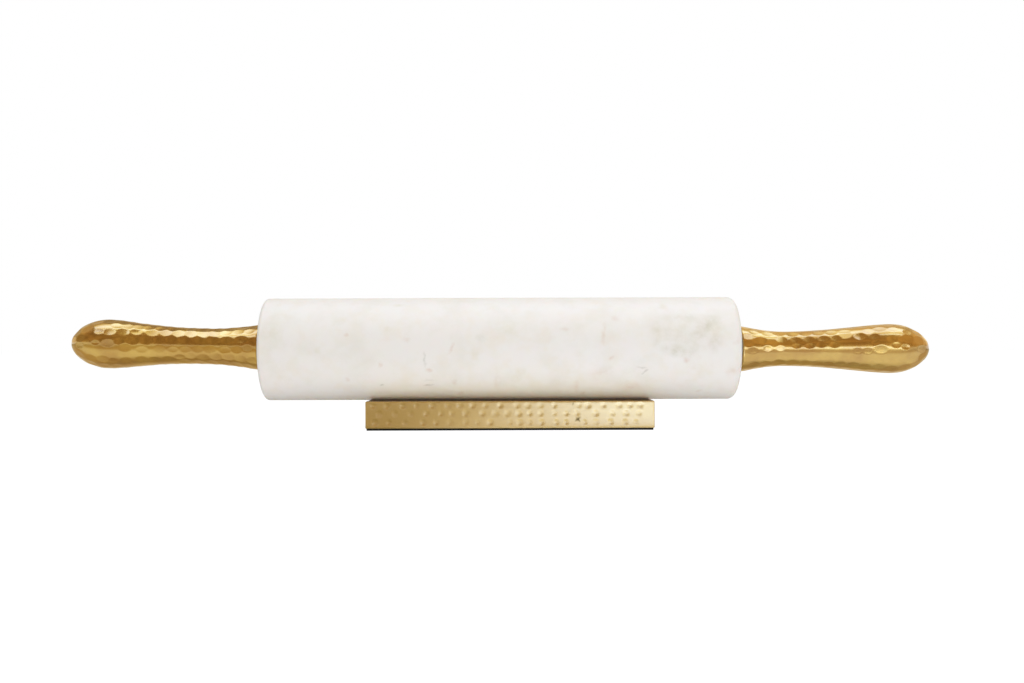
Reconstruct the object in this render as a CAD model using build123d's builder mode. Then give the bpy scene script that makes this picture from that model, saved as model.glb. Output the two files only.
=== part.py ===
from build123d import *
import os

# Marble rolling pin with cast metal handles, lying on a low hammered stand.
# All lengths are in millimetres. +X runs along the pin to the right, the front faces -Y,
# and +Z is up. The origin is on the table, below the middle of the pin.

# Barrel of solid marble, bored through, with a wider seat for a bush at each end
barrel_length = 247.6
barrel_diameter = 54.0
left_rim_radius = 2.0
right_rim_radius = 4.0
bore_play = 2.0
seat_chamfer = 0.8

# Axle of ground steel rod, turned down and threaded at both ends
axle_diameter = 10.0
shoulder_height = 1.0
thread_length = 21.0
undercut_width = 1.6
undercut_depth = 0.6
thread_chamfer = 0.9

# Flanged nylon bushes, glued into the marble, that the axle turns in
running_clearance = 0.08
glue_gap = 0.05
bush_wall = 5.0
bush_length = 14.0
bush_chamfer = 0.6
flange_thickness = 1.5
flange_lip = 1.2
end_float = 0.3

# Thrust washers, each held between a shoulder of the axle and a handle
washer_thickness = 1.0
washer_width = 6.0
thread_gap = 0.05

# Steel inserts, cast into the handles, that hold the thread
insert_wall = 2.4
insert_length = 24.0
rib_height = 0.6
rib_spans_shares = ((0.18, 0.36), (0.64, 0.82))

# Cast handles: a domed bulb, a long grip that thins to a waist, and a flared neck
handle_length = 100.85
dome_length = 20.1
bulb_diameter = 26.05
neck_diameter = 24.1
neck_land = 1.6
neck_edge_radius = 0.6
dome_pull_share = 0.51
bulb_pull_share = 0.22
neck_pull_share = 0.31
neck_flare = 1.6
# The castings are ground by hand, so the left and the right waist differ a little
left_waist_diameter = 19.1
right_waist_diameter = 18.25
left_waist_distance = 29.8
right_waist_distance = 23.1
left_grip_pull_share = 0.576
right_grip_pull_share = 0.424
# They are drilled a little off their middles: the left one sits high and leans up,
# and the right one sits low
left_neck_rise = 0.98
left_tip_rise = 3.92
right_neck_rise = -0.55
right_tip_rise = -0.65

# Stand: a shell of folded, hammered sheet over a wooden core, with felt underneath
stand_length = 146.9
stand_depth = 54.0
stand_offset = 5.1
shell_height = 13.8
sheet_thickness = 1.2
corner_radius = 0.8
fold_radius = 0.5
lip_width = 9.0
groove_depth = 0.8
rest_gap = 0.3
core_gap = 0.2
felt_thickness = 1.0
felt_inset = 0.5

# Countersunk screws that hold the folded-in lips to the core
screw_columns = 3
screw_rows = 2
screw_diameter = 2.6
screw_head_diameter = 4.6
screw_length = 8.0
screw_tip_length = 2.0
screw_gap = 0.05
slot_width = 0.7
slot_depth = 0.45

# Cuts run past the faces they open by this much
overrun = 2.0

# Sizes that follow from the ones above
barrel_radius = barrel_diameter / 2
axle_radius = axle_diameter / 2
thread_radius = axle_radius - shoulder_height
bush_radius = axle_radius + running_clearance + bush_wall
insert_bore_radius = thread_radius + thread_gap
insert_radius = insert_bore_radius + insert_wall
barrel_end = barrel_length / 2
shoulder_x = barrel_end + flange_thickness + end_float
neck_x = shoulder_x + washer_thickness
stand_height = felt_thickness + shell_height
groove_radius = barrel_radius + rest_gap
axis_height = stand_height - groove_depth + groove_radius
stand_left = stand_offset - stand_length / 2


def across(side, x):
    """A plane square to the pin, at a distance x from its middle, facing outwards."""
    return Plane(origin=(side * x, 0, axis_height), x_dir=(0, 1, 0), z_dir=(side, 0, 0))


def disc(side, x, radius, thickness, mode=Mode.ADD):
    """Adds or cuts a round slice that starts at x and grows outwards."""
    with BuildSketch(across(side, x)) as section:
        Circle(radius)
    extrude(section.sketch, amount=thickness, mode=mode)


def outer_face(piece, side):
    """The face of a piece that lies furthest out on one side."""
    return piece.faces().sort_by(Axis.X)[-1 if side > 0 else 0]


def rim(face):
    """The longest edge of a face."""
    return face.edges().sort_by(SortBy.LENGTH)[-1]


def save(piece, name):
    """Labels a finished piece and writes it to its own file."""
    piece.part.label = name
    export_step(piece.part, "parts/" + name + ".step")


def insert_outline(side):
    """The outside of an insert, with its ribs, turned about the pin axis."""
    with BuildPart() as outline:
        disc(side, neck_x, insert_radius, insert_length)
        for start_share, end_share in rib_spans_shares:
            rib_width = insert_length * (end_share - start_share)
            disc(side, neck_x + insert_length * start_share, insert_radius + rib_height, rib_width)
    return outline.part


def room_in_shell(gap):
    """The space under the sheet, smaller by a gap on every side."""
    inset = sheet_thickness + gap
    with BuildPart() as room:
        with BuildSketch(Plane.XY.offset(felt_thickness + inset)):
            with Locations((stand_offset, 0)):
                Rectangle(stand_length - 2 * inset, stand_depth - 2 * inset)
        extrude(amount=shell_height - 2 * inset)
        with BuildSketch(Plane.YZ.offset(stand_left)):
            with Locations((0, axis_height)):
                Circle(groove_radius + inset)
        extrude(amount=stand_length, mode=Mode.SUBTRACT)
    return room.part


def window_between_lips(gap):
    """The block that fills the opening between the lips, up into the room above."""
    reach = lip_width + gap
    with BuildPart() as window:
        with BuildSketch(Plane.XY.offset(felt_thickness)):
            with Locations((stand_offset, 0)):
                Rectangle(stand_length - 2 * reach, stand_depth - 2 * reach)
        extrude(amount=shell_height / 2)
    return window.part


def screw_form(gap):
    """A screw standing on its countersunk head, larger by a gap all round."""
    head_radius = screw_head_diameter / 2 + gap
    shank_radius = screw_diameter / 2 + gap
    with BuildPart() as screw:
        with BuildSketch(Plane.XZ):
            with BuildLine():
                Polyline(
                    (0, 0),
                    (head_radius, 0),
                    (shank_radius, head_radius - shank_radius),
                    (shank_radius, screw_length - screw_tip_length),
                    (0, screw_length + gap),
                    close=True,
                )
            make_face()
        revolve(axis=Axis.Z)
    return screw.part


def screw_places():
    """The middles of the screw heads, in rows along the middles of the lips."""
    column_pitch = (stand_length - lip_width) / (screw_columns - 1)
    row_pitch = (stand_depth - lip_width) / (screw_rows - 1)
    with Locations((stand_offset, 0, felt_thickness)):
        places = GridLocations(column_pitch, row_pitch, screw_columns, screw_rows)
    return places.locations


os.makedirs("parts", exist_ok=True)

# Barrel
with BuildPart() as marble_barrel:
    disc(1, -barrel_end, barrel_radius, barrel_length)
    fillet(rim(outer_face(marble_barrel, -1)), left_rim_radius)
    fillet(rim(outer_face(marble_barrel, 1)), right_rim_radius)
    for side in (-1, 1):
        with Locations(across(side, barrel_end)):
            CounterBoreHole(
                radius=axle_radius + bore_play,
                counter_bore_radius=bush_radius + glue_gap,
                counter_bore_depth=bush_length,
                depth=barrel_length,
            )
        mouth = outer_face(marble_barrel, side).edges().sort_by(SortBy.LENGTH)[0]
        chamfer(mouth, seat_chamfer)
save(marble_barrel, "marble_barrel")

# Axle
with BuildPart() as axle_rod:
    disc(1, -shoulder_x, axle_radius, 2 * shoulder_x)
    for side in (-1, 1):
        disc(side, shoulder_x, thread_radius - undercut_depth, undercut_width)
        disc(side, shoulder_x + undercut_width, thread_radius, thread_length - undercut_width)
        chamfer(outer_face(axle_rod, side).edges(), thread_chamfer)
save(axle_rod, "axle_rod")

for side, side_name in ((-1, "left"), (1, "right")):
    # Bush
    with BuildPart() as bush:
        disc(side, barrel_end - bush_length, bush_radius, bush_length)
        chamfer(rim(outer_face(bush, -side)), bush_chamfer)
        disc(side, barrel_end, bush_radius + flange_lip, flange_thickness)
        with Locations(across(side, barrel_end + flange_thickness)):
            Hole(axle_radius + running_clearance)
    save(bush, side_name + "_bush")

    # Thrust washer
    with BuildPart() as washer:
        disc(side, shoulder_x, thread_radius + washer_width, washer_thickness)
        with Locations(across(side, neck_x)):
            Hole(thread_radius + thread_gap)
    save(washer, side_name + "_thrust_washer")

    # Threaded insert
    with BuildPart() as insert:
        add(insert_outline(side))
        with Locations(across(side, neck_x + insert_length)):
            Hole(insert_bore_radius)
    save(insert, side_name + "_thread_insert")

    # Handle, turned about its own middle line
    neck_rise = left_neck_rise if side < 0 else right_neck_rise
    tip_rise = left_tip_rise if side < 0 else right_tip_rise
    waist_diameter = left_waist_diameter if side < 0 else right_waist_diameter
    waist_distance = left_waist_distance if side < 0 else right_waist_distance
    grip_pull_share = left_grip_pull_share if side < 0 else right_grip_pull_share
    neck_middle = Vector(side * neck_x, 0, axis_height + neck_rise)
    lean = Vector(side * handle_length, 0, tip_rise - neck_rise)
    bulb_x = handle_length - dome_length
    grip_length = bulb_x - waist_distance
    with BuildPart() as handle:
        with BuildSketch(Plane(origin=neck_middle, x_dir=lean, z_dir=(0, -side, 0))):
            with BuildLine():
                neck = (neck_land, neck_diameter / 2)
                waist = (waist_distance, waist_diameter / 2)
                bulb = (bulb_x, bulb_diameter / 2)
                Polyline((-overrun, 0), (-overrun, neck_diameter / 2), neck)
                neck_pull = neck_pull_share * (waist_distance - neck_land)
                Bezier(
                    neck,
                    (neck_land + neck_pull, neck_diameter / 2 - neck_flare),
                    (waist_distance - neck_pull, waist_diameter / 2),
                    waist,
                )
                Bezier(
                    waist,
                    (waist_distance + grip_pull_share * grip_length, waist_diameter / 2),
                    (bulb_x - bulb_pull_share * grip_length, bulb_diameter / 2),
                    bulb,
                )
                Bezier(
                    bulb,
                    (bulb_x + dome_pull_share * dome_length, bulb_diameter / 2),
                    (handle_length, dome_pull_share * bulb_diameter / 2),
                    (handle_length, 0),
                )
                Line((handle_length, 0), (-overrun, 0))
            make_face()
        revolve(axis=Axis(neck_middle, lean))
        split(bisect_by=across(side, neck_x), keep=Keep.TOP)
        fillet(rim(outer_face(handle, -side)), neck_edge_radius)
        add(insert_outline(side), mode=Mode.SUBTRACT)
    save(handle, side_name + "_handle")

# Stand shell
with BuildPart() as cradle_shell:
    with BuildSketch(Plane.XY.offset(felt_thickness)):
        with Locations((stand_offset, 0)):
            RectangleRounded(stand_length, stand_depth, corner_radius)
    extrude(amount=shell_height)
    fillet(cradle_shell.edges().group_by(Axis.Z)[-1], fold_radius)
    with BuildSketch(Plane.YZ.offset(stand_left - overrun)):
        with Locations((0, axis_height)):
            Circle(groove_radius)
    extrude(amount=stand_length + 2 * overrun, mode=Mode.SUBTRACT)
    add(room_in_shell(0), mode=Mode.SUBTRACT)
    add(window_between_lips(0), mode=Mode.SUBTRACT)
    with Locations(*screw_places()):
        add(screw_form(screw_gap), mode=Mode.SUBTRACT)
save(cradle_shell, "cradle_shell")

# Wooden core, stepped so that it comes down between the lips
with BuildPart() as cradle_core:
    add(room_in_shell(core_gap))
    add(window_between_lips(core_gap))
    with Locations(*screw_places()):
        add(screw_form(screw_gap), mode=Mode.SUBTRACT)
save(cradle_core, "cradle_core")

# Screws through the lips, with a driver slot in each head
with BuildPart() as lip_screws:
    with Locations(*screw_places()):
        add(screw_form(0))
        Box(
            screw_head_diameter,
            slot_width,
            slot_depth,
            align=(Align.CENTER, Align.CENTER, Align.MIN),
            mode=Mode.SUBTRACT,
        )
save(lip_screws, "lip_screws")

# Felt under the stand
with BuildPart() as base_felt:
    with BuildSketch():
        with Locations((stand_offset, 0)):
            RectangleRounded(
                stand_length - 2 * felt_inset,
                stand_depth - 2 * felt_inset,
                corner_radius,
            )
    extrude(amount=felt_thickness)
save(base_felt, "base_felt")
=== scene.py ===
import math
import random
from functools import reduce

import bmesh
import bpy
import numpy as np
from bpy.props import FloatProperty, FloatVectorProperty, IntProperty, PointerProperty
from mathutils import Matrix, Vector


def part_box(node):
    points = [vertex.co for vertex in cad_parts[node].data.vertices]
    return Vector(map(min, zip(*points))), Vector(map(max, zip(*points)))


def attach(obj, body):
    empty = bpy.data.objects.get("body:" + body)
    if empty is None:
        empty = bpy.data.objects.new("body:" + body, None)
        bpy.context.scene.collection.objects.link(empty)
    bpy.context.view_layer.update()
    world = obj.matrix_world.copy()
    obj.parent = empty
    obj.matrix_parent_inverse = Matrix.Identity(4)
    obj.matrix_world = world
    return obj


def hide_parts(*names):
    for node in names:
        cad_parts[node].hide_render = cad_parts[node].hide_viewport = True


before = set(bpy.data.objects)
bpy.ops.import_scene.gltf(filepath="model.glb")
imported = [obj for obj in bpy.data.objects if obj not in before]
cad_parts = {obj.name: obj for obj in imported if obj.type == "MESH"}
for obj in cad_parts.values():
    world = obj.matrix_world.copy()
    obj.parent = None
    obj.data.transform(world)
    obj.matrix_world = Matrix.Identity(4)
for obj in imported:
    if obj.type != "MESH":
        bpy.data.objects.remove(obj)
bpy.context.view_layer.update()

bl_info = {
    "name": "Marble Rolling Pin",
    "version": (1, 0, 0),
    "blender": (4, 5, 0),
    "location": "View3D > Sidebar > Rolling Pin",
    "description": "Hammered handles, a honed marble barrel and a low hammered stand",
    "category": "Add Mesh",
}

MM = 0.001

# Where the frame says that the barrel and the stand are
BARREL_LOW, BARREL_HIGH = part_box("marble_barrel")
SHELL_LOW, SHELL_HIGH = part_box("cradle_shell")
FELT_LOW, FELT_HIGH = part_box("base_felt")
BARREL_RADIUS = (BARREL_HIGH.z - BARREL_LOW.z) / 2
AXIS_HEIGHT = (BARREL_HIGH.z + BARREL_LOW.z) / 2
FRONT = Vector((0, -1, 0))

# How sharp an edge has to be to stay crisp, and how deep a stain goes into a surface
CRISP_ANGLE = math.radians(40)
STAIN_DEPTH = 8 * MM

# Hammer marks on the side of each handle that faces the front, read from the picture: millimetres
# along the surface from the neck, degrees up from the front, and the size against the usual one
LEFT_MARKS = (
    (75, 50, 1), (69.8, 52, 1), (64, 54, 0.9), (58.8, 56, 0.9), (52.6, 57, 0.9), (46.5, 60, 0.9),
    (78, 30, 1), (70.8, 33.5, 1), (64.4, 36, 0.9), (56.4, 37.5, 1), (49.5, 41, 0.95), (42.8, 41, 1),
    (36.4, 42, 1), (30, 43, 1), (24, 44.5, 1), (18, 46.5, 1), (11.4, 49, 1), (5.5, 47, 0.9),
    (83.4, 31, 0.85), (84.6, 3, 0.7), (78, 2.8, 1.15), (72.4, 8.5, 0.85), (65.7, 11.5, 1), (58.8, 14, 1),
    (52.4, 16.5, 0.9), (46, 19, 1), (39.4, 20, 1), (32, 19.5, 1.05), (24.4, 20.5, 1.05), (17, 20.7, 1),
    (9.2, 21, 1.05), (60.8, -12.7, 0.95), (51.8, -11.5, 0.95), (44.8, -12, 0.85), (38.4, -11.2, 0.9),
    (32, -10.3, 0.95), (25.6, -10, 1.05), (17.6, -9.4, 1.05), (11.2, -8, 0.9), (5.6, -2.5, 0.9),
    (76.2, -42.5, 0.8), (69.6, -44, 1), (61.8, -43.2, 1), (55, -46.5, 0.9), (48, -45, 0.9),
)
RIGHT_MARKS = (
    (14.6, 53, 1), (21, 60, 1), (27.8, 57.5, 1), (34.6, 58, 1), (41.4, 57, 1), (48.2, 56, 1), (55, 55, 1),
    (3.4, 34, 0.9), (10.4, 26, 1), (21.2, 33, 0.9), (28.6, 31, 0.85), (35.6, 32, 0.9), (43.4, 31.6, 0.9),
    (50, 31.8, 0.9), (55, 41, 1), (62.4, 34, 1), (69.6, 31, 0.8), (78.2, 23.5, 0.8), (87.2, 43.5, 0.8),
    (3.6, 15, 0.9), (29.2, 9.5, 0.75), (36, 10, 0.8), (42, 14.5, 0.8), (48.8, 13, 0.8), (69.8, 15.5, 0.75),
    (80.2, 9, 0.8), (85.2, 4.5, 0.75), (5.6, -4.5, 0.9), (13.8, 1.5, 0.75), (20.6, 2, 0.7), (60.4, -6, 0.75),
    (65.6, -6, 0.8), (72.2, -1.5, 1.15), (56, -27, 0.9), (62, -28.5, 0.8),
)

# Hammer marks of the stand's front, in millimetres from its left end, read from the picture.
# Each row is given with its height above the table.
FRONT_MARKS = (
    (12.7, (
        4, 11, 19, 26, 34, 42, 48, 54.5, 61, 68.5, 77, 82.5, 89, 96, 108.5, 113, 121, 129, 134.5, 139.5,
    )),
    (8.6, (
        7, 15, 23, 31, 38.5, 44, 51, 59.5, 66, 72, 78, 83.5, 89, 96, 102, 107.5, 117, 125.5, 132.5, 139,
    )),
    (4.1, (
        5, 12, 20, 29.5, 36, 43, 51, 57, 63.5, 73.5, 78.5, 83.5, 89.5, 97, 102, 111.5, 117, 124.5, 132,
        137.5,
    )),
)

# Marks on the front of the barrel, read from the picture: millimetres right of its middle, degrees up
# from the front, half length and half width in millimetres, tilt in degrees, strength and tint
MARBLE_MARKS = (
    (-52.2, 57, 4.5, 2.2, 0, 0.5, "olive"), (-47.2, 10, 2.5, 2.0, 0, 0.6, "rust"),
    (-77.9, 16, 1.6, 1.6, 0, 0.8, "rust"), (-79.8, 34, 3.4, 3.2, 0, 0.4, "olive"),
    (-57.1, 23, 2.4, 2.6, 0, 0.6, "olive"), (-24.6, 1, 4.2, 1.4, 68, 1, "rust"),
    (-60.7, -16, 2.6, 1.3, 75, 0.6, "rust"), (-38.1, -12, 4.7, 1.1, -85, 0.8, "dark"),
    (-36.0, -23, 2.4, 1.4, 0, 0.8, "rust"), (-36.3, -36, 3.9, 0.8, 0, 0.6, "dark"),
    (-37.0, -43, 3.7, 0.8, 8, 0.7, "dark"), (-60.8, -43, 1.6, 0.9, 20, 0.7, "dark"),
    (-77.9, -35, 1.7, 2.1, 0, 0.6, "rust"), (-92.1, -1, 2.0, 2.0, 0, 0.6, "olive"),
    (-117.1, 16, 8.5, 9.0, 0, 0.4, "olive"), (-111.6, 40, 8, 6, 0, 0.4, "olive"),
    (-9.4, 12, 3.6, 2.8, 0, 0.6, "grey"), (-12.7, -8, 3.2, 5.6, 0, 0.5, "olive"),
    (-23.4, -39, 1.8, 2.7, 0, 0.6, "rust"), (-20.5, -59, 2.4, 3.4, 0, 0.8, "rust"),
    (-1.4, -39, 2.6, 6.1, 0, 0.3, "rust"), (9.2, -31, 6.5, 3.6, 60, 0.8, "olive"),
    (5.0, 20, 13, 7, 0, 0.45, "olive"), (33.1, 22, 3.1, 1.8, 0, 0.5, "rust"),
    (53.1, 18, 8.6, 1.4, 84, 0.5, "rust"), (58.9, 35, 3.4, 2.2, -20, 0.35, "rust"),
    (56.7, -10, 2.1, 1.3, 50, 0.8, "rust"), (52.1, -28, 8.1, 5.3, 10, 0.35, "rust"),
    (39.3, -47, 1.9, 5.8, 0, 0.4, "rust"), (43.1, -60, 1.9, 3.2, 0, 0.6, "rust"),
    (67.1, -47, 7.3, 5.1, 0, 0.45, "rust"), (73.9, -26, 2.6, 1.1, 40, 0.9, "dark"),
    (72.2, -21, 3.4, 0.8, 0, 0.5, "dark"), (84.1, 54, 2.7, 3.1, 0, 0.6, "olive"),
    (95.0, 35, 17, 4.2, 0, 0.45, "grey"), (105.8, 26, 9, 7, 20, 0.95, "grey"),
    (108.7, 10, 5.5, 8.5, 0, 0.7, "grey"), (100.9, 15, 8, 5, 0, 0.6, "grey"),
    (90.3, -2, 13, 4.4, -8, 0.95, "grey"), (80.0, 15, 3.8, 9.5, 0, 0.55, "grey"),
    (95.7, 15, 23, 14, 0, 0.35, "grey"), (95.0, -12, 2.4, 2.0, 0, 0.7, "rust"),
    (118.8, -24, 4.7, 5.2, 0, 0.4, "rust"), (103.3, -55, 2.4, 2.1, 0, 0.6, "rust"),
    (120.1, 6, 2.3, 1.6, 30, 0.5, "rust"), (100.0, -22, 14.0, 6.0, 0, 0.3, "olive"),
)

# Dark scars in the lacquer of the stand's front: millimetres right of the pin's middle and above the
# table, half length and half width in millimetres, tilt in degrees and strength
FRONT_SCARS = (
    (39.5, 5.6, 2.2, 0.8, 40, 0.9), (39.7, 5.4, 2.0, 0.7, -45, 0.9), (37.1, 13.4, 1.4, 0.5, 70, 0.5),
)


def linear(hex_colour):
    """An sRGB hex colour as the linear values that a shader takes."""
    digits = hex_colour.lstrip("#")
    channels = [int(digits[i:i + 2], 16) / 255 for i in (0, 2, 4)]
    return [c / 12.92 if c <= 0.04045 else ((c + 0.055) / 1.055) ** 2.4 for c in channels]


def length(name, description, millimetres):
    """A length property whose default is given in millimetres."""
    return FloatProperty(
        name=name, description=description, default=millimetres * MM, subtype="DISTANCE", unit="LENGTH"
    )


def tint(name, description, hex_colour):
    """A colour property whose default is given as sRGB hex."""
    return FloatVectorProperty(
        name=name, description=description, default=linear(hex_colour), subtype="COLOR", min=0, max=1
    )


def turn(name, description, degrees):
    """An angle property whose default is given in degrees."""
    return FloatProperty(name=name, description=description, default=math.radians(degrees), subtype="ANGLE")


class HandleSettings(bpy.types.PropertyGroup):
    """Sizes and colours of the hammered cast handles"""

    mesh_step: length("Mesh Step", "Distance between points of the handle's surface", 0.42)
    rows: IntProperty(name="Rows", description="Rows of hammer marks round the handle", default=14, min=3)
    left_phase: turn("Left Phase", "Where the first row lies on the left handle, up from the front", 68)
    right_phase: turn("Right Phase", "Where the first row lies on the right handle, up from the front", 77)
    pitch: length("Pitch", "Distance between hammer marks along a row", 6.6)
    mark_length: length("Mark Length", "Length of a hammer mark along the handle", 6.7)
    mark_width: length("Mark Width", "Width of a hammer mark round the handle", 4.4)
    mark_depth: length("Mark Depth", "Depth of a hammer mark", 0.28)
    seed: IntProperty(name="Seed", description="Seed of the uneven hammering", default=11)
    metal: tint("Metal", "Gold finish of the castings", "#C8A24E")
    tarnish: tint("Tarnish", "Darker, redder gold in worn and low places", "#B78C41")


class StandSettings(bpy.types.PropertyGroup):
    """Sizes and colours of the stand's hammered sheet and its felt"""

    mesh_step: length("Mesh Step", "Distance between points of the sheet's surface", 0.6)
    fold_radius: length("Fold Radius", "Radius of the sheet's folded edges", 0.5)
    lip_width: length("Lip Width", "Width of the lips folded in underneath", 9.0)
    thickness: length("Thickness", "Thickness of the sheet", 1.2)
    rest_gap: length("Rest Gap", "Space between the barrel and the groove", 0.3)
    pitch: length("Pitch", "Distance between hammer marks", 6.2)
    mark_size: length("Mark Size", "Diameter of a hammer mark", 3.4)
    mark_depth: length("Mark Depth", "Depth of a hammer mark", 0.26)
    seed: IntProperty(name="Seed", description="Seed of the uneven hammering", default=5)
    metal: tint("Metal", "Pale brass of the sheet", "#C9A965")
    # Painted shade: a dark tint for the reflections of the top, standing in for the shade under the barrel
    top_painted_shade: tint("Browned", "What is left of the reflections on the bare top", "#8A6A48")
    scar: tint("Scar", "Dark scars in the front", "#2E2316")


class MarbleSettings(bpy.types.PropertyGroup):
    """Colours of the marble"""

    ground: tint("Ground", "Main white of the stone", "#F3EFEA")
    cloud: tint("Cloud", "Faint grey clouds", "#E9E5DA")
    blush: tint("Blush", "Faint beige clouds", "#F0E9DD")
    olive: tint("Olive", "Olive marks", "#E7E1CF")
    grey: tint("Grey", "Grey marks", "#DBD6C6")
    rust: tint("Rust", "Rusty marks", "#DFCBBC")
    dark: tint("Dark", "Dark specks and scratches", "#C3BFB6")


class StudioSettings(bpy.types.PropertyGroup):
    """The camera and the light"""

    distance: length("Camera Distance", "From the camera to the pin's axis", 594)
    above_axis: length("Camera Rise", "Height of the camera above the pin's axis", 3.8)
    aside: length("Camera Aside", "How far the camera stands to the right of the pin's middle", 6.25)
    roll: turn("Camera Roll", "Turn of the picture, right side up", 0.19)
    focal_length: FloatProperty(name="Focal Length", description="Focal length in millimetres", default=39.29)
    ambient: FloatProperty(name="Ambient", description="Light from all round", default=0.37)
    top_power: FloatProperty(name="Top Light", description="Watts of the soft box overhead", default=5.6)
    front_power: FloatProperty(name="Front Light", description="Watts of the low soft box", default=10.7)
    top_shine: FloatProperty(name="Top Shine", description="Brightness of the overhead card", default=4.6)
    side_shine: FloatProperty(name="Side Shine", description="Brightness of the right card", default=5.5)
    stand_shine: FloatProperty(name="Stand Shine", description="Brightness of the middle card", default=3.5)
    card: tint("Card", "Cool white of the cards that the metal reflects", "#AEC6FF")
    card_edge: tint("Card Edge", "Dimmer, warmer white of their edges", "#92906F")
    # Painted light: the glow of a patch on the table that only the metal reflects, brightening the stand's
    # right half
    patch: FloatVectorProperty(
        name="Patch", description="Glow of the patch that the stand reflects", default=(1.55, 2.4, 4.6)
    )
    dim_front: tint("Dim Front", "Room that the metal reflects at the front", "#B59A6E")
    dim_back: tint("Dim Back", "Room that the metal reflects at the back", "#CDB98F")


def deselect():
    """Leaves object mode with nothing selected."""
    if bpy.context.object and bpy.context.object.mode != "OBJECT":
        bpy.ops.object.mode_set(mode="OBJECT")
    bpy.ops.object.select_all(action="DESELECT")


def take(piece, mode="OBJECT"):
    """Selects one piece alone and opens it in a mode."""
    deselect()
    piece.select_set(True)
    bpy.context.view_layer.objects.active = piece
    bpy.ops.object.mode_set(mode=mode)


def settle(piece):
    """Puts a piece's place into its mesh and leaves its object at the origin."""
    take(piece)
    bpy.ops.object.transform_apply(location=True, rotation=True, scale=True)


def pick(piece, kind, wanted):
    """Selects the parts of an edit-mode mesh that a test accepts, and nothing else."""
    bpy.ops.mesh.select_mode(type=kind)
    bpy.ops.mesh.select_all(action="DESELECT")
    mesh = bmesh.from_edit_mesh(piece.data)
    for item in {"VERT": mesh.verts, "EDGE": mesh.edges, "FACE": mesh.faces}[kind]:
        item.select_set(wanted(item))
    mesh.select_flush_mode()
    bmesh.update_edit_mesh(piece.data)


def split_edges(piece, axis, step):
    """Cuts every edge that runs along one axis into lengths of about one step, in two rounds."""

    def runs_along(edge):
        span = edge.verts[1].co - edge.verts[0].co
        return abs(span[axis]) > 0.99 * span.length

    mesh = bmesh.from_edit_mesh(piece.data)
    parts = max(edge.calc_length() for edge in mesh.edges if runs_along(edge)) / step
    coarse = max(1, round(math.sqrt(parts)))
    for pieces in (coarse, round(parts / coarse)):
        if pieces > 1:
            pick(piece, "EDGE", runs_along)
            bpy.ops.mesh.subdivide(number_cuts=pieces - 1)


def points_of(piece):
    """The places of a mesh's points, one row each."""
    places = np.empty(len(piece.data.vertices) * 3)
    piece.data.vertices.foreach_get("co", places)
    return places.reshape(-1, 3)


def place_points(piece, places):
    """Moves a mesh's points to new places."""
    piece.data.vertices.foreach_set("co", places.astype(np.float32).ravel())
    piece.data.update()


def dish(away):
    """The depth share of a hammer mark, from 1 in its middle (away 0) to 0 at its crisp rim (away 1)."""
    return np.clip(1 - away, 0, None)


def finish_piece(piece, body, slot_name, material, *nodes):
    """Shades a piece, gives it its material, hangs it under its body's empty and hides the CAD nodes that it
    replaces.
    """
    take(piece)
    bpy.ops.object.shade_smooth_by_angle(angle=CRISP_ANGLE)
    piece.data.materials.clear()
    piece.data.materials.append(material)
    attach(piece, body)
    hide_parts(*nodes)


def dress(node, material):
    """Gives a CAD node its finish."""
    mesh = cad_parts[node].data
    mesh.materials.clear()
    mesh.materials.append(material)


def new_material(name):
    """A named material, its node tree, and the place on the object that its patterns follow."""
    material = bpy.data.materials.new(name)
    material.use_nodes = True
    tree = material.node_tree
    tree.nodes.clear()
    return material, tree, add_node(tree, "TexCoord").outputs["Object"]


def add_node(tree, kind, inputs=None, **settings):
    """Adds one node with its settings. Its inputs, by name or number, get values, sockets or nodes, of
    which the first output in use is linked. A colour gets full alpha."""
    node = tree.nodes.new("ShaderNode" + kind)
    for name, value in settings.items():
        setattr(node, name, value)
    for name, value in (inputs or {}).items():
        if isinstance(value, bpy.types.Node):
            value = next(socket for socket in value.outputs if socket.enabled)
        if isinstance(value, bpy.types.NodeSocket):
            tree.links.new(value, node.inputs[name])
        elif node.inputs[name].type == "RGBA":
            node.inputs[name].default_value = (*value, 1)
        else:
            node.inputs[name].default_value = value
    return node


def joined(tree, operation, shares):
    """Several shares as one: multiplied together, or the largest of them."""
    return reduce(
        lambda one, other: add_node(tree, "Math", {0: one, 1: other}, operation=operation), shares
    )


def within(tree, *bands):
    """The share of a place in all of some bands. A band is a value, where it starts and where it is
    full, and the shares at those two where they aren't 0 and 1."""
    return joined(tree, "MULTIPLY", [add_node(tree, "MapRange", dict(enumerate(band))) for band in bands])


def layered(tree, ground, *layers):
    """A ground colour under other colours, each laid over the last by its own share."""
    for share, layer in layers:
        ground = add_node(tree, "Mix", {0: share, 6: ground, 7: layer}, data_type="RGBA")
    return ground


def gold_lacquered_aluminium(settings):
    """Sand-cast aluminium under gold lacquer: a little redder and duller in random worn patches, with a
    fine casting grain that breaks up its reflections."""
    material, tree, place = new_material("gold_lacquered_aluminium")
    # Worn patches 14 mm across, and the grain of fine sand, drawn 0.9 mm coarse so that it shows
    patches = add_node(
        tree, "TexNoise", {"Vector": place, "Scale": 1 / (14 * MM), "Detail": 3, "Roughness": 0.55}
    )
    worn = within(tree, (patches, 0.42, 0.68))
    grain = add_node(
        tree, "TexNoise", {"Vector": place, "Scale": 1 / (0.9 * MM), "Detail": 2, "Roughness": 0.6}
    )
    surface = add_node(
        tree,
        "BsdfPrincipled",
        {
            "Base Color": layered(tree, settings.metal, (worn, settings.tarnish)),
            "Metallic": 1,
            "Roughness": add_node(tree, "MapRange", {0: grain, 1: 0.3, 2: 0.7, 3: 0.16, 4: 0.25}),
            "Normal": add_node(tree, "Bump", {"Height": grain, "Strength": 0.1, "Distance": 0.02 * MM}),
            "Coat Weight": 1,
            "Coat Roughness": 0.1,
        },
    )
    add_node(tree, "OutputMaterial", {"Surface": surface})
    return material


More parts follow.
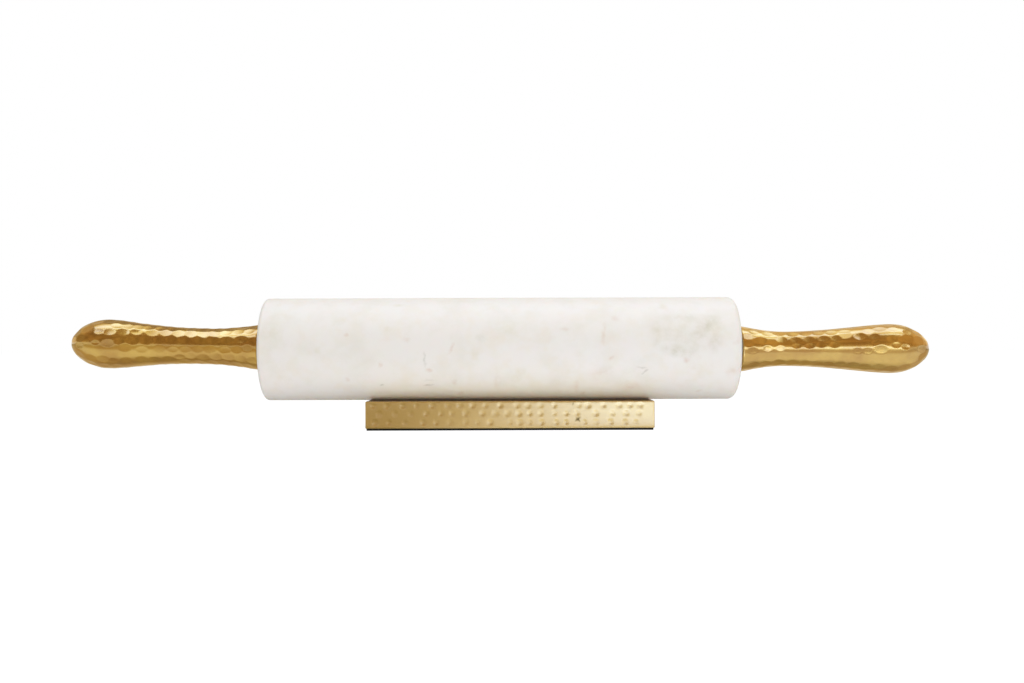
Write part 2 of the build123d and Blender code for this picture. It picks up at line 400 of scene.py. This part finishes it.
def satin_brass_sheet(settings):
    """Brass sheet under lacquer, hammered and rubbed down to a satin on its sides: pale, with soft
    broad reflections, and a few dark scars in front. The top, where the barrel lies, is left without
    lacquer, smooth as the mill rolled it, and its reflections are darkened by painted shade that stands
    in for the dark wedge under the barrel, so that it reflects little at a flat angle."""
    material, tree, place = new_material("satin_brass_sheet")
    # The rubbed grain, drawn 0.7 mm coarse so that it shows
    grain = add_node(
        tree, "TexNoise", {"Vector": place, "Scale": 1 / (0.7 * MM), "Detail": 3, "Roughness": 0.6}
    )
    height = add_node(tree, "SeparateXYZ", {0: place}).outputs["Z"]
    top_band = (height, SHELL_HIGH.z - 0.4 * MM, SHELL_HIGH.z - 0.15 * MM)
    # The top band: uncoated and smoother, and its reflections darkened by painted shade
    bare_and_shaded = within(tree, top_band)
    satin = add_node(tree, "MapRange", {0: grain, 1: 0.3, 2: 0.7, 3: 0.34, 4: 0.43})
    bent = wavering(tree, place, 1, 0.4)
    scars = []
    for along, rise, half_long, half_wide, tilt, strength in FRONT_SCARS:
        middle = Vector((along * MM, SHELL_LOW.y, rise * MM))
        turned = Matrix.Rotation(math.radians(-tilt), 3, "Y")
        scars.append(stain(tree, bent, middle, turned, half_long, half_wide, strength))
    scarred = joined(tree, "MAXIMUM", scars)
    surface = add_node(
        tree,
        "BsdfPrincipled",
        {
            "Base Color": layered(tree, settings.metal, (scarred, settings.scar)),
            "Metallic": 1,
            "Roughness": add_node(tree, "Mix", {0: bare_and_shaded, 2: satin, 3: 0.12}),
            # Painted shade: the top's grazing reflections are tinted dark, as if in the barrel's shade
            "Specular Tint": layered(tree, (1, 1, 1), (bare_and_shaded, settings.top_painted_shade)),
            "Normal": add_node(tree, "Bump", {"Height": grain, "Strength": 0.12, "Distance": 0.02 * MM}),
            "Coat Weight": within(tree, (*top_band, 1, 0), (scarred, 0, 0.5, 1, 0)),
            "Coat Roughness": 0.18,
            "Coat IOR": 1.6,
        },
    )
    add_node(tree, "OutputMaterial", {"Surface": surface})
    return material


def wavering(tree, place, size, reach):
    """A place pushed to and fro by a noise of one size, as far as a reach, both in millimetres."""
    noise = add_node(tree, "TexNoise", {"Vector": place, "Scale": 1 / (size * MM), "Detail": 4})
    pushes = {0: noise.outputs["Color"], 1: (2 * reach * MM,) * 3, 2: place}
    pushed = add_node(tree, "VectorMath", pushes, operation="MULTIPLY_ADD")
    return add_node(tree, "VectorMath", {0: pushed, 1: (-reach * MM,) * 3}, operation="ADD").outputs[0]


def stain(tree, place, middle, turned, half_long, half_wide, strength):
    """The share of one mark: an oval about a point of a surface, soft at its edge."""
    oval = {
        "Vector": place,
        "Location": middle,
        "Rotation": turned.to_euler(),
        "Scale": (half_long * MM, STAIN_DEPTH, half_wide * MM),
    }
    near = add_node(tree, "Mapping", oval, vector_type="TEXTURE")
    ball = add_node(tree, "TexGradient", {"Vector": near}, gradient_type="SPHERICAL").outputs["Fac"]
    return within(tree, (ball, 0, 0.9, 0, strength))


def stone_mark(tree, place, along, angle, half_long, half_wide, tilt, strength):
    """The share of one mark on the barrel's surface."""
    angle = math.radians(angle)
    out = Vector((0, -math.cos(angle), math.sin(angle))) * BARREL_RADIUS
    turned = Matrix.Rotation(-angle, 3, "X") @ Matrix.Rotation(math.radians(-tilt), 3, "Y")
    middle = out + Vector((along * MM, 0, AXIS_HEIGHT))
    return stain(tree, place, middle, turned, half_long, half_wide, strength)


def honed_marble(settings):
    """White marble, honed: a dull sheen, light that sinks in a little, faint grey and beige clouds, and
    the grey, olive, rusty and dark marks that the picture shows. Its back has flecks of rust."""
    material, tree, place = new_material("honed_marble")
    bent = wavering(tree, place, 3.5, 1.3)
    depth = add_node(tree, "SeparateXYZ", {0: place}).outputs["Y"]
    # The clouds, the flecks and the gaps that break up the marks, by their size in millimetres
    cloudy, beige, flecked, broken = (
        add_node(
            tree,
            "TexNoise",
            {"Vector": place, "Scale": 1 / (size * MM), "Detail": detail, "Roughness": 0.6},
        )
        for size, detail in ((16, 5), (11, 3), (7, 2), (4, 3))
    )
    layers = [
        (within(tree, (cloudy, 0.48, 0.7, 0, 0.55)), settings.cloud),
        (within(tree, (beige, 0.5, 0.7, 0, 0.6)), settings.blush),
        (within(tree, (depth, 0, 8 * MM), (flecked, 0.66, 0.74, 0, 0.4)), settings.rust),
    ]
    for tint_name in ("olive", "grey", "rust", "dark"):
        marks = [stone_mark(tree, bent, *mark) for *mark, named in MARBLE_MARKS if named == tint_name]
        marked = joined(tree, "MAXIMUM", marks)
        share = within(tree, (marked, 0, 1), (broken, 0.35, 0.64, 0.3, 1))
        layers.append((share, getattr(settings, tint_name)))
    surface = add_node(
        tree,
        "BsdfPrincipled",
        {
            "Base Color": layered(tree, settings.ground, *layers),
            "Roughness": 0.55,
            "Specular IOR Level": 0.3,
            "Subsurface Weight": 0.12,
            "Subsurface Scale": 2 * MM,
        },
    )
    add_node(tree, "OutputMaterial", {"Surface": surface})
    return material


def plain_finish(name, hex_colour, roughness, grain_size, metallic=0.0):
    """A finish for inner pieces: one colour, lighter and darker in patches of one grain size."""
    material, tree, place = new_material(name)
    grain = add_node(tree, "TexNoise", {"Vector": place, "Scale": 1 / (grain_size * MM), "Detail": 2})
    shade = add_node(tree, "MapRange", {0: grain, 3: 0.85, 4: 1.1})
    shaded = {0: 1, 6: linear(hex_colour), 7: shade}
    colour = add_node(tree, "Mix", shaded, data_type="RGBA", blend_type="MULTIPLY")
    surface = add_node(
        tree, "BsdfPrincipled", {"Base Color": colour, "Metallic": metallic, "Roughness": roughness}
    )
    add_node(tree, "OutputMaterial", {"Surface": surface})
    return material


class HandleForm:
    """The outline of one CAD handle, read back as a turned shape about its own middle line: how far
    along it the samples lie (t), the radius there, and the way there over the surface (run)."""

    samples = 400
    directions = 12
    smoothings = 40
    # The rounded edge at the neck, and the land behind it that no hammer mark cuts into
    edge = 0.6 * MM
    land = 1.2 * MM

    def __init__(self, node):
        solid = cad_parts[node]
        places = points_of(solid)
        self.side = 1 if places[:, 0].mean() > 0 else -1
        out = np.abs(places[:, 0])
        neck = places[np.isclose(out, out.min(), rtol=0, atol=0.01 * MM)]
        self.neck = Vector((self.side * out.min(), 0, (neck[:, 2].max() + neck[:, 2].min()) / 2))
        tip = Vector(places[out.argmax()]) * Vector((1, 0, 1))
        self.along = (tip - self.neck).normalized()
        self.up = (Vector((0, 0, 1)) - self.along * self.along.z).normalized()
        self.length = (tip - self.neck).length
        shares = np.sin(np.linspace(0, 1, self.samples) * math.pi / 2)
        self.t = shares * self.length
        radius = np.array([self.measure(solid, max(t, self.land)) for t in self.t])
        radius[-1] = 0
        for _ in range(self.smoothings):
            radius[1:-1] = (radius[:-2] + 2 * radius[1:-1] + radius[2:]) / 4
        into = np.clip(self.edge - self.t, 0, self.edge)
        self.radius = radius - self.edge + np.sqrt(self.edge ** 2 - into ** 2)
        steps = np.hypot(np.diff(self.t), np.diff(self.radius))
        self.run = np.concatenate(([0], np.cumsum(steps)))

    def measure(self, solid, t):
        """The outer radius at a distance t from the neck, averaged over the directions."""
        found = []
        for angle in np.linspace(0, 2 * math.pi, self.directions, endpoint=False):
            out = self.up * math.sin(angle) + FRONT * math.cos(angle)
            start = self.neck + self.along * t + out * BARREL_RADIUS
            hit, place, _, _ = solid.ray_cast(start, -out)
            inwards = (start - place).length if hit else BARREL_RADIUS
            found.append(max(0.0, BARREL_RADIUS - inwards))
        return sum(found) / len(found)


class ROLLINGPIN_OT_hammer_handles(bpy.types.Operator):
    """Make the two cast handles with their rows of hammer marks"""

    bl_idname = "rolling_pin.hammer_handles"
    bl_label = "Hammer the Handles"

    # How uneven the hammering is: shares of the pitch, radians, and shares of a mark's size
    first_step, later_steps = (-0.15, 0.15), (0.86, 1.16)
    sway = (-0.06, 0.06)
    sizes, widths, depths = (0.8, 1.1), (0.92, 1.08), (0.75, 1.15)
    # Two marks touch when they are closer than this share of the pitch and of their width
    crowded = 0.8

    def execute(self, context):
        settings = context.scene.handle_settings
        material = gold_lacquered_aluminium(settings)
        for side_name in ("left", "right"):
            node = side_name + "_handle"
            form = HandleForm(node)
            piece = self.draw_tube(form, settings)
            piece.name = "hammered_" + node
            self.hammer(piece, form, settings)
            self.close_ends(piece, form, side_name + "_thread_insert")
            finish_piece(piece, "axle", "handle_metal", material, node)
        return {"FINISHED"}

    def draw_tube(self, form, settings):
        """An open tube of even rings, as long as the outline is from the neck to the tip."""
        widest = form.radius.max()
        deselect()
        bpy.ops.mesh.primitive_cylinder_add(
            vertices=2 * round(math.pi * widest / settings.mesh_step),
            radius=widest,
            depth=form.run[-1],
            end_fill_type="NOTHING",
            location=(form.run[-1] / 2, 0, 0),
            rotation=(0, math.pi / 2, 0),
        )
        piece = bpy.context.object
        settle(piece)
        take(piece, "EDIT")
        split_edges(piece, 0, settings.mesh_step)
        take(piece)
        return piece

    def marks(self, form, settings):
        """The marks that the picture shows, and staggered rows of others where it shows none."""
        chance = random.Random(settings.seed + form.side)
        shown = [
            (run * MM, math.radians(angle), size)
            for run, angle, size in (LEFT_MARKS if form.side < 0 else RIGHT_MARKS)
        ]
        others = []
        phase = settings.left_phase if form.side < 0 else settings.right_phase
        for row in range(settings.rows):
            angle = phase + 2 * math.pi * row / settings.rows
            run = settings.pitch * (0.5 + 0.5 * (row % 2) + chance.uniform(*self.first_step))
            while run < form.run[-1] - settings.pitch:
                spot = (run, angle + chance.uniform(*self.sway), chance.uniform(*self.sizes))
                if not any(self.touches(form, settings, spot, mark) for mark in shown):
                    others.append(spot)
                run += settings.pitch * chance.uniform(*self.later_steps)
        for run, angle, size in shown + others:
            yield (
                run,
                angle,
                settings.mark_length / 2 * size,
                settings.mark_width / 2 * size * chance.uniform(*self.widths),
                settings.mark_depth * size * chance.uniform(*self.depths),
            )

    def touches(self, form, settings, spot, mark):
        """Whether two marks would lie on each other."""
        radius = np.interp(spot[0], form.run, form.radius)
        arc = (spot[1] - mark[1] + math.pi) % (2 * math.pi) - math.pi
        apart = math.hypot((spot[0] - mark[0]) / settings.pitch, arc * radius / settings.mark_width)
        return apart < self.crowded

    def hammer(self, piece, form, settings):
        """Bends the tube to the handle's outline and presses the marks inwards."""
        places = points_of(piece)
        run = places[:, 0]
        angle = np.arctan2(places[:, 2], -places[:, 1])
        t = np.interp(run, form.run, form.t)
        radius = np.interp(run, form.run, form.radius)
        depth = np.zeros(len(run))
        for mark_run, mark_angle, half_long, half_wide, deepest in self.marks(form, settings):
            near = np.flatnonzero(np.abs(run - mark_run) < half_long)
            arc = (angle[near] - mark_angle + math.pi) % (2 * math.pi) - math.pi
            away = ((run[near] - mark_run) / half_long) ** 2 + (arc * radius[near] / half_wide) ** 2
            depth[near] = np.maximum(depth[near], deepest * dish(away))
        depth *= np.clip(run / form.land, 0, 1)
        rise_t = np.interp(run, form.run, np.gradient(form.t, form.run))
        rise_radius = np.interp(run, form.run, np.gradient(form.radius, form.run))
        radius = np.clip(radius - depth * rise_t, 0, None)
        t = t + depth * rise_radius
        out = np.outer(np.sin(angle), form.up) + np.outer(np.cos(angle), FRONT)
        shaped = np.array(form.neck) + np.outer(t, form.along) + out * radius[:, None]
        # The first rings stand square to the pin's axis, so that the neck sits flat on its washer
        square = np.clip(1 - t / (3 * form.land), 0, 1)
        shaped[:, 0] += (form.neck.x + form.side * t - shaped[:, 0]) * square
        place_points(piece, shaped)

    def close_ends(self, piece, form, insert):
        """Draws the tip together, and sinks the pocket for the insert into the neck."""
        low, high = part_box(insert)
        pocket = (high.z - low.z) / 2
        take(piece, "EDIT")
        pick(piece, "VERT", lambda v: v.is_boundary and abs(v.co.x - form.neck.x) > form.length / 2)
        bpy.ops.mesh.merge(type="CENTER")
        pick(piece, "VERT", lambda v: v.is_boundary)
        bpy.ops.mesh.extrude_region()
        for v in bmesh.from_edit_mesh(piece.data).verts:
            if v.select:
                arm = Vector((0, v.co.y, v.co.z - AXIS_HEIGHT)).normalized() * pocket
                v.co.yz = arm.y, arm.z + AXIS_HEIGHT
        bpy.ops.mesh.extrude_region()
        bpy.ops.transform.translate(value=(form.side * (high.x - low.x), 0, 0))
        bpy.ops.mesh.edge_face_add()
        bpy.ops.mesh.select_all(action="SELECT")
        bpy.ops.mesh.normals_make_consistent(inside=False)
        take(piece)


class ROLLINGPIN_OT_hammer_stand(bpy.types.Operator):
    """Fold the stand's sheet shell, press its groove and hammer its faces"""

    bl_idname = "rolling_pin.hammer_stand"
    bl_label = "Hammer the Stand"

    # Each hammered face by its axis and side, and the two axes that its marks are placed along
    faces = ((1, -1, 0, 2), (1, 1, 0, 2), (0, -1, 1, 2), (0, 1, 1, 2), (2, 1, 0, 1))
    front_face, top_axis = (1, -1), 2
    # The top is hammered this much more lightly, and how uneven the hammering is: shares of the pitch
    # along and across a row, and of a mark's size and depth
    light_blow = 0.2
    steps, sway = (0.85, 1.15), (-0.08, 0.08)
    sizes, depths = (0.8, 1.15), (0.6, 1.15)

    def execute(self, context):
        settings = context.scene.stand_settings
        piece = self.fold(settings)
        self.press_groove(piece, settings)
        self.hammer(piece, settings)
        self.fold_lips(piece, settings)
        finish_piece(piece, "cradle", "stand_metal", satin_brass_sheet(settings), "cradle_shell")
        return {"FINISHED"}

    def fold(self, settings):
        """A box with rounded folds, open underneath, its faces cut into an even grid."""
        deselect()
        bpy.ops.mesh.primitive_cube_add(
            size=1, location=(SHELL_LOW + SHELL_HIGH) / 2, scale=SHELL_HIGH - SHELL_LOW
        )
        piece = bpy.context.object
        piece.name = "hammered_stand_shell"
        settle(piece)
        take(piece, "EDIT")
        bpy.ops.mesh.select_all(action="SELECT")
        bpy.ops.mesh.bevel(offset=settings.fold_radius, segments=3, affect="EDGES")
        pick(piece, "FACE", lambda face: face.normal.z < -0.999)
        bpy.ops.mesh.delete(type="ONLY_FACE")
        for axis in range(3):
            split_edges(piece, axis, settings.mesh_step)
        take(piece)
        return piece

    def press_groove(self, piece, settings):
        """Lowers the middle of the top into a shallow trough that follows the barrel."""
        places = points_of(piece)
        trough = BARREL_RADIUS + settings.rest_gap
        inside = np.clip(trough ** 2 - places[:, 1] ** 2, 0, None)
        drop = np.clip(SHELL_HIGH.z - AXIS_HEIGHT + np.sqrt(inside), 0, None)
        middle = (SHELL_LOW.z + SHELL_HIGH.z) / 2
        share = np.clip((places[:, 2] - middle) / (SHELL_HIGH.z - middle), 0, 1)
        places[:, 2] -= drop * share
        place_points(piece, places)

    def scattered(self, chance, u_low, u_high, v_low, v_high, pitch):
        """Places on a face in staggered rows, uneven as handwork is."""
        rows = max(1, round((v_high - v_low) / (0.75 * pitch)))
        for row in range(rows):
            v = v_low + (v_high - v_low) * (row + 0.5) / rows
            u = u_low + pitch * (0.5 + 0.5 * (row % 2))
            while u < u_high - 0.4 * pitch:
                yield u, v + pitch * chance.uniform(*self.sway)
                u += pitch * chance.uniform(*self.steps)

    def hammer(self, piece, settings):
        """Presses round marks into the front, the back and the two ends, and shallow ones in the top."""
        chance = random.Random(settings.seed)
        places = points_of(piece)
        low, high = np.array(SHELL_LOW), np.array(SHELL_HIGH)
        front = [(low[0] + run * MM, height * MM) for height, runs in FRONT_MARKS for run in runs]
        margin = 1.5 * settings.fold_radius
        for axis, side, u, v in self.faces:
            face = high[axis] if side > 0 else low[axis]
            inside = (places[:, u] > low[u] + margin) & (places[:, u] < high[u] - margin)
            inside &= (places[:, v] > low[v] + margin) & (places[:, v] < high[v] - margin)
            flatness = settings.fold_radius if axis == self.top_axis else 0.05 * MM
            near = np.flatnonzero(inside & (np.abs(places[:, axis] - face) < flatness))
            if (axis, side) == self.front_face:
                centres = front
            else:
                centres = self.scattered(chance, low[u], high[u], low[v], high[v], settings.pitch)
            depth = np.zeros(len(near))
            blow = settings.mark_depth * (self.light_blow if axis == self.top_axis else 1)
            for centre_u, centre_v in centres:
                half = settings.mark_size / 2 * chance.uniform(*self.sizes)
                away = (places[near, u] - centre_u) ** 2 + (places[near, v] - centre_v) ** 2
                deepest = blow * chance.uniform(*self.depths)
                depth = np.maximum(depth, deepest * dish(away / half ** 2))
            places[near, axis] -= side * depth
        place_points(piece, places)

    def fold_lips(self, piece, settings):
        """Turns the lower edge in under the stand, and closes the inside of the sheet."""
        size = SHELL_HIGH - SHELL_LOW
        sheet = settings.thickness
        edge, window, room = (2 * inset for inset in (settings.fold_radius, settings.lip_width, sheet))
        take(piece, "EDIT")
        pick(piece, "VERT", lambda v: v.is_boundary)
        for before, after, rise in ((edge, window, sheet), (window, room, size.z - 2 * sheet)):
            bpy.ops.mesh.extrude_region()
            narrow = [(width - after) / (width - before) for width in size.xy]
            bpy.ops.transform.resize(value=(*narrow, 1))
            bpy.ops.mesh.extrude_region()
            bpy.ops.transform.translate(value=(0, 0, rise))
        bpy.ops.mesh.edge_face_add()
        bpy.ops.mesh.select_all(action="SELECT")
        bpy.ops.mesh.normals_make_consistent(inside=False)
        take(piece)


class ROLLINGPIN_OT_lay_felt(bpy.types.Operator):
    """Lay the black felt under the stand"""

    bl_idname = "rolling_pin.lay_felt"
    bl_label = "Lay the Felt"

    rounding = 0.2 * MM
    mesh_step = 2 * MM
    fray = 0.12 * MM

    def execute(self, context):
        settings = context.scene.stand_settings
        deselect()
        bpy.ops.mesh.primitive_cube_add(
            size=1, location=(FELT_LOW + FELT_HIGH) / 2, scale=FELT_HIGH - FELT_LOW
        )
        piece = bpy.context.object
        piece.name = "felt_sheet"
        settle(piece)
        take(piece, "EDIT")
        bpy.ops.mesh.select_all(action="SELECT")
        bpy.ops.mesh.bevel(offset=self.rounding, segments=2, affect="EDGES")
        split_edges(piece, 0, self.mesh_step)
        split_edges(piece, 1, self.mesh_step)
        take(piece)
        places = points_of(piece)
        chance = np.random.default_rng(settings.seed)
        places[:, :2] -= np.sign(places[:, :2]) * chance.uniform(0, self.fray, (len(places), 2))
        place_points(piece, places)
        material = plain_finish("black_wool_felt", "#171614", 0.95, 0.6)
        finish_piece(piece, "cradle", "felt", material, "base_felt")
        return {"FINISHED"}


class ROLLINGPIN_OT_hone_barrel(bpy.types.Operator):
    """Give the marble barrel its honed stone"""

    bl_idname = "rolling_pin.hone_barrel"
    bl_label = "Hone the Barrel"

    def execute(self, context):
        dress("marble_barrel", honed_marble(context.scene.marble_settings))
        return {"FINISHED"}


class ROLLINGPIN_OT_finish_works(bpy.types.Operator):
    """Finish the axle, bushes, washers, inserts, screws and core"""

    bl_idname = "rolling_pin.finish_works"
    bl_label = "Finish the Inner Works"

    def execute(self, context):
        nylon = plain_finish("moulded_nylon", "#EFEDE6", 0.4, 2.0)
        steel = plain_finish("ground_steel", "#A9A9AC", 0.32, 0.8, metallic=1.0)
        pine = plain_finish("planed_pine", "#B58F63", 0.7, 1.5)
        dress("axle_rod", steel)
        dress("lip_screws", steel)
        dress("cradle_core", pine)
        for side_name in ("left", "right"):
            dress(side_name + "_bush", nylon)
            dress(side_name + "_thrust_washer", steel)
            dress(side_name + "_thread_insert", steel)
        return {"FINISHED"}


class ROLLINGPIN_OT_set_studio(bpy.types.Operator):
    """Set the white floor, the lights and the camera"""

    bl_idname = "rolling_pin.set_studio"
    bl_label = "Set the Studio"

    def execute(self, context):
        settings = context.scene.studio_settings
        self.lay_floor(settings)
        self.light_world(context.scene, settings)
        self.hang_lights(settings)
        self.set_cards(settings)
        self.raise_tent(settings)
        self.place_camera(context.scene, settings)
        context.scene.view_settings.view_transform = "Standard"
        return {"FINISHED"}

    def seen_and_mirrored(self, tree):
        """1 for the camera's rays, and 1 for the rays that metal sends out."""
        path = add_node(tree, "LightPath").outputs
        bounced = (path["Is Glossy Ray"], path["Is Transmission Ray"])
        return path["Is Camera Ray"], joined(tree, "MAXIMUM", bounced)

    def lay_floor(self, settings):
        """A wide white table that keeps the pin's soft shadow. The metal reflects it with painted warm shade
        under the pin and further off, painted light to the right, a painted cool glow patch before the right
        half of the stand and a painted dark patch before its left half."""
        deselect()
        bpy.ops.mesh.primitive_plane_add(size=8)
        floor = bpy.context.object
        floor.name = "white_table"
        material, tree, place = new_material("white_table")
        seen, mirror = self.seen_and_mirrored(tree)
        x, y, _ = add_node(tree, "SeparateXYZ", {0: place}).outputs
        slant = add_node(tree, "Math", {0: x, 1: -0.045, 2: y}, operation="MULTIPLY_ADD")
        before_pin = (y, -0.01, -0.03)
        # Painted shade, seen only in the metal's reflections: warm shade under and behind the pin along a
        # slant, and further off in front
        far_painted_shade = within(tree, (y, -0.085, -0.125), (y, -0.6, -0.35))
        shaded = joined(tree, "MAXIMUM", (far_painted_shade, within(tree, (slant, -0.02, -0.004))))
        # Painted light, seen only in the metal's reflections: the table grows brighter to the right, with a
        # cool glowing patch before the stand's right half
        right = within(tree, (x, -0.06, 0.18), before_pin)
        painted_glow_patch = within(tree, (x, -0.02, 0.07), (x, 0.14, 0.12), (y, -0.045, -0.07))
        # Painted shade: a dark patch before the stand's left half, for the metal alone
        painted_dark_patch = within(tree, (x, -0.14, -0.11), (x, 0, -0.06), before_pin)
        mirrored_white_painted_shade = layered(
            tree, (1, 1, 1), (shaded, (0.64, 0.46, 0.26)), (painted_dark_patch, (0.4, 0.29, 0.17))
        )
        mirrored_glow_painted_light = layered(
            tree, (0.17, 0.2, 0.14), (right, (0.24, 0.31, 0.46)), (painted_glow_patch, settings.patch)
        )
        # How white the table is and how much it glows: for the stone's light, for metal with its painted
        # shade and light, for the camera
        to_stone, to_metal, to_camera = (
            add_node(
                tree,
                "AddShader",
                {
                    0: add_node(tree, "Emission", {"Color": glow, "Strength": 1}),
                    1: add_node(tree, "BsdfDiffuse", {"Color": white}),
                },
            )
            for white, glow in (
                ((0.8, 0.8, 0.8), (0.1, 0.1, 0.1)),
                (mirrored_white_painted_shade, mirrored_glow_painted_light),
                ((0.2, 0.2, 0.2), (0.94, 0.94, 0.94)),
            )
        )
        reflected = add_node(tree, "MixShader", {0: mirror, 1: to_stone, 2: to_metal})
        shown = add_node(tree, "MixShader", {0: seen, 1: reflected, 2: to_camera})
        add_node(tree, "OutputMaterial", {"Surface": shown})
        floor.data.materials.append(material)

    def light_world(self, scene, settings):
        """Even light from all round, and plain white wherever it is seen."""
        world = scene.world or bpy.data.worlds.new("white_room")
        scene.world = world
        world.use_nodes = True
        tree = world.node_tree
        tree.nodes.clear()
        plain = joined(tree, "MAXIMUM", self.seen_and_mirrored(tree))
        soft, white = (
            add_node(tree, "Background", {"Color": (1, 1, 1), "Strength": strength})
            for strength in (settings.ambient, 1)
        )
        shown = add_node(tree, "MixShader", {0: plain, 1: soft, 2: white})
        add_node(tree, "OutputWorld", {"Surface": shown})

    def hang_lights(self, settings):
        """The lamps for the stone and the table: a soft box overhead and a low one at the front."""
        middle = Vector((0, 0, AXIS_HEIGHT))
        boxes = (
            ("overhead_soft_box", Vector((0, 0.03, 0.9)), (1.6, 0.56), settings.top_power),
            ("front_soft_box", Vector((0.45, -1.5, 0.1)), (1.5, 0.3), settings.front_power),
        )
        for name, place, size, power in boxes:
            deselect()
            bpy.ops.object.light_add(type="AREA", location=place)
            lamp = bpy.context.object
            lamp.name = name
            lamp.data.shape = "RECTANGLE"
            lamp.data.size, lamp.data.size_y = size
            lamp.data.energy = power
            lamp.rotation_euler = (middle - place).to_track_quat("-Z", "Y").to_euler()
            lamp.visible_camera = lamp.visible_glossy = False

    def show_to_metal(self, piece, name):
        """Shows a card or tent to reflections alone, and starts the material that makes it glow."""
        piece.name = name
        piece.visible_camera = piece.visible_diffuse = piece.visible_shadow = False
        material, tree, place = new_material(name)
        piece.data.materials.append(material)
        return tree, place

    def set_glowing(self, tree, colour, strength):
        """Ends a card's or tent's material with its colour and strength."""
        glow = add_node(tree, "Emission", {"Color": colour, "Strength": strength})
        add_node(tree, "OutputMaterial", {"Surface": glow})

    def set_cards(self, settings):
        """The cool cards that the metal reflects, each brightest along its middle: three overhead and
        two low at the front right."""
        upright = math.pi / 2
        # Each card's name, place, turn, size and brightness
        cards = (
            ("overhead_card",(0, 0.025, 0.92), (0, 0, math.radians(9)), (1.6, 0.6, 1), settings.top_shine),
            ("left_wing_card", (-0.57, -0.42, 0.92), (0, 0, 0), (0.3, 0.36, 1), settings.top_shine),
            ("right_wing_card", (0.55, -0.3, 0.92), (0, 0, 0), (0.4, 0.18, 1), settings.top_shine),
            ("right_card", (0.33, -0.42, 0.08), (upright, 0, 0), (0.3, 0.1, 1), settings.side_shine),
            ("middle_card", (0.15, -0.42, 0.075), (upright, 0, 0), (0.16, 0.15, 1), settings.stand_shine),
        )
        for name, place, turned, size, shine in cards:
            deselect()
            bpy.ops.mesh.primitive_plane_add(size=1, location=place, rotation=turned)
            bpy.ops.transform.resize(value=size, orient_type="LOCAL")
            tree, spot = self.show_to_metal(bpy.context.object, name)
            breadth = add_node(tree, "SeparateXYZ", {0: spot}).outputs["Y"]
            from_middle = add_node(tree, "Math", {0: breadth}, operation="ABSOLUTE")
            edge = within(tree, (from_middle, 0.08, 0.46))
            self.set_glowing(tree, layered(tree, settings.card, (edge, settings.card_edge)), shine)

    def raise_tent(self, settings):
        """A dim tent over the table, open along the horizon, that gives the metal its dark tones. The
        light that the metal throws on to the stone comes from another one, warm and dim low down, cool
        and bright high up."""
        horizon = 0.25
        deselect()
        bpy.ops.mesh.primitive_uv_sphere_add(segments=48, ring_count=48, radius=2)
        tent = bpy.context.object
        take(tent, "EDIT")
        pick(tent, "FACE", lambda face: face.calc_center_median().z < horizon)
        bpy.ops.mesh.delete(type="FACE")
        take(tent)
        tree, place = self.show_to_metal(tent, "dim_tent")
        x, y, z = add_node(tree, "SeparateXYZ", {0: place}).outputs
        aside = add_node(tree, "Math", {0: x}, operation="ABSOLUTE")
        mottled = add_node(tree, "TexNoise", {"Vector": place, "Scale": 2.2, "Detail": 1})
        dim = layered(tree, settings.dim_front, (within(tree, (y, -0.6, 0.6)), settings.dim_back))
        dim_shine = within(
            tree, (x, -0.6, 0.6, 0.92, 1.3), (aside, 1.2, 1.8, 1, 1.2), (mottled, 0.35, 0.65, 0.72, 1.4)
        )
        bright = layered(tree, (1, 0.7, 0.35), (within(tree, (z, 0.5, 1.2)), (0.7, 1.1, 3)))
        bright_shine = within(tree, (z, 0.7, 1.5, 0.25, 5.2))
        thrown = add_node(tree, "LightPath").outputs["Diffuse Depth"]
        shine = add_node(tree, "Mix", {0: thrown, 2: dim_shine, 3: bright_shine})
        self.set_glowing(tree, layered(tree, dim, (thrown, bright)), shine)
        tent.active_material.cycles.emission_sampling = "NONE"

    def place_camera(self, scene, settings):
        """The camera stands level with the barrel, with the picture turned a little."""
        deselect()
        bpy.ops.object.camera_add(
            location=(settings.aside, -settings.distance, AXIS_HEIGHT + settings.above_axis),
            rotation=(math.pi / 2, settings.roll, 0),
        )
        camera = bpy.context.object
        full_frame = 36
        camera.data.sensor_width = full_frame
        camera.data.lens = settings.focal_length
        camera.data.clip_start = 10 * MM
        scene.camera = camera


class ROLLINGPIN_PT_workshop(bpy.types.Panel):
    """The steps of making the rolling pin, in order"""

    bl_label = "Rolling Pin"
    bl_idname = "ROLLINGPIN_PT_workshop"
    bl_space_type = "VIEW_3D"
    bl_region_type = "UI"
    bl_category = "Rolling Pin"

    def draw(self, context):
        for step in STEPS:
            self.layout.operator(step.bl_idname)
        for name in SETTINGS:
            box = self.layout.box()
            group = getattr(context.scene, name)
            for key in group.bl_rna.properties.keys():
                if key not in ("rna_type", "name"):
                    box.prop(group, key)


SETTINGS = {
    "handle_settings": HandleSettings,
    "stand_settings": StandSettings,
    "marble_settings": MarbleSettings,
    "studio_settings": StudioSettings,
}
STEPS = (
    ROLLINGPIN_OT_set_studio,
    ROLLINGPIN_OT_hammer_handles,
    ROLLINGPIN_OT_hammer_stand,
    ROLLINGPIN_OT_lay_felt,
    ROLLINGPIN_OT_hone_barrel,
    ROLLINGPIN_OT_finish_works,
)


def register():
    for name, group in SETTINGS.items():
        bpy.utils.register_class(group)
        setattr(bpy.types.Scene, name, PointerProperty(type=group))
    for item in (*STEPS, ROLLINGPIN_PT_workshop):
        bpy.utils.register_class(item)


def unregister():
    for item in (ROLLINGPIN_PT_workshop, *reversed(STEPS)):
        bpy.utils.unregister_class(item)
    for name, group in reversed(SETTINGS.items()):
        delattr(bpy.types.Scene, name)
        bpy.utils.unregister_class(group)


def main():
    register()
    bpy.ops.rolling_pin.set_studio()
    bpy.ops.rolling_pin.hammer_handles()
    bpy.ops.rolling_pin.hammer_stand()
    bpy.ops.rolling_pin.lay_felt()
    bpy.ops.rolling_pin.hone_barrel()
    bpy.ops.rolling_pin.finish_works()


if __name__ == "__main__":
    main()
